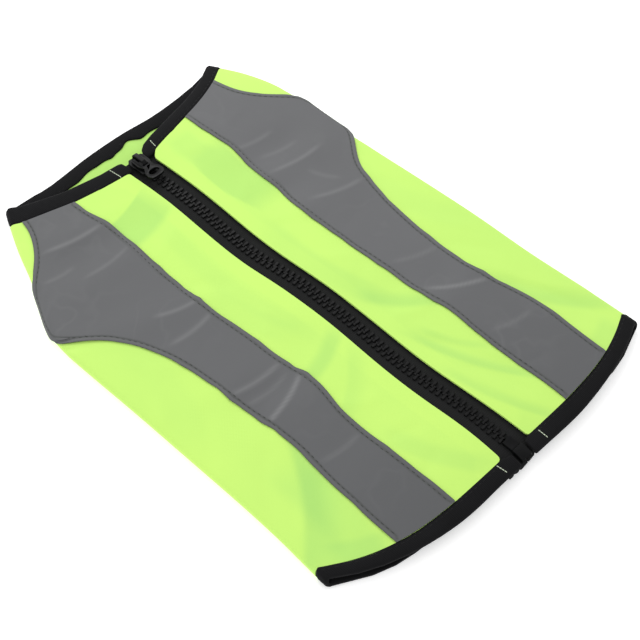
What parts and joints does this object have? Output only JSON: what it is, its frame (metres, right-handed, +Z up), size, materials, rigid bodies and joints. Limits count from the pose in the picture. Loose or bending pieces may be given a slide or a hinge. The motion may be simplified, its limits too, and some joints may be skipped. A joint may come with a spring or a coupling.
{
  "type": "reflective dog vest",
  "caption": "Sleeveless zip-up safety vest for a small dog, laid flat: bright panels, reflective strips, bound neck, hem and leg holes, and a zip with a hinged pull tab.",
  "frame": {"origin": "bottom centre of the vest's box, on the belly panel's flat underside", "axes": "+X across the vest, +Y along the zip towards the neck, +Z up from the surface that it lies on"},
  "size_m": [0.1854, 0.2628, 0.015],
  "materials": {
    "bright_cloth": "fine warp-knitted polyester in fluorescent yellow-green, matt, with a slight sheen on folds",
    "reflective_cloth": "smooth silver-grey retroreflective fabric with topstitched edges",
    "binding_tape": "black folded binding tape with a fine ribbed weave",
    "zip_cloth": "black woven zip tape",
    "zip_plastic": "black moulded plastic with soft highlights"
  },
  "bodies": {
    "vest": {"belly_panel": "bright_cloth", "back_panel_left": "bright_cloth", "back_panel_right": "bright_cloth", "reflective_strip_left": "reflective_cloth", "reflective_strip_right": "reflective_cloth", "leg_binding_left": "binding_tape", "leg_binding_right": "binding_tape", "neck_binding": "binding_tape", "hem_binding": "binding_tape", "zip_tape_left": "zip_cloth", "zip_tape_right": "zip_cloth", "zip_chain_left": "zip_plastic", "zip_chain_right": "zip_plastic", "zip_pin": "zip_plastic", "zip_box": "zip_plastic", "zip_slider": "zip_plastic"},
    "pull_tab": {"zip_pull_tab": "zip_plastic"}
  },
  "joints": [
    {"name": "pull_tab_hinge", "type": "hinge", "parent": "vest", "child": "pull_tab", "pos_m": [0.00121, 0.10222, 0.0128], "axis": [-1, 0, 0], "range_deg": [0, 160]}
  ]
}
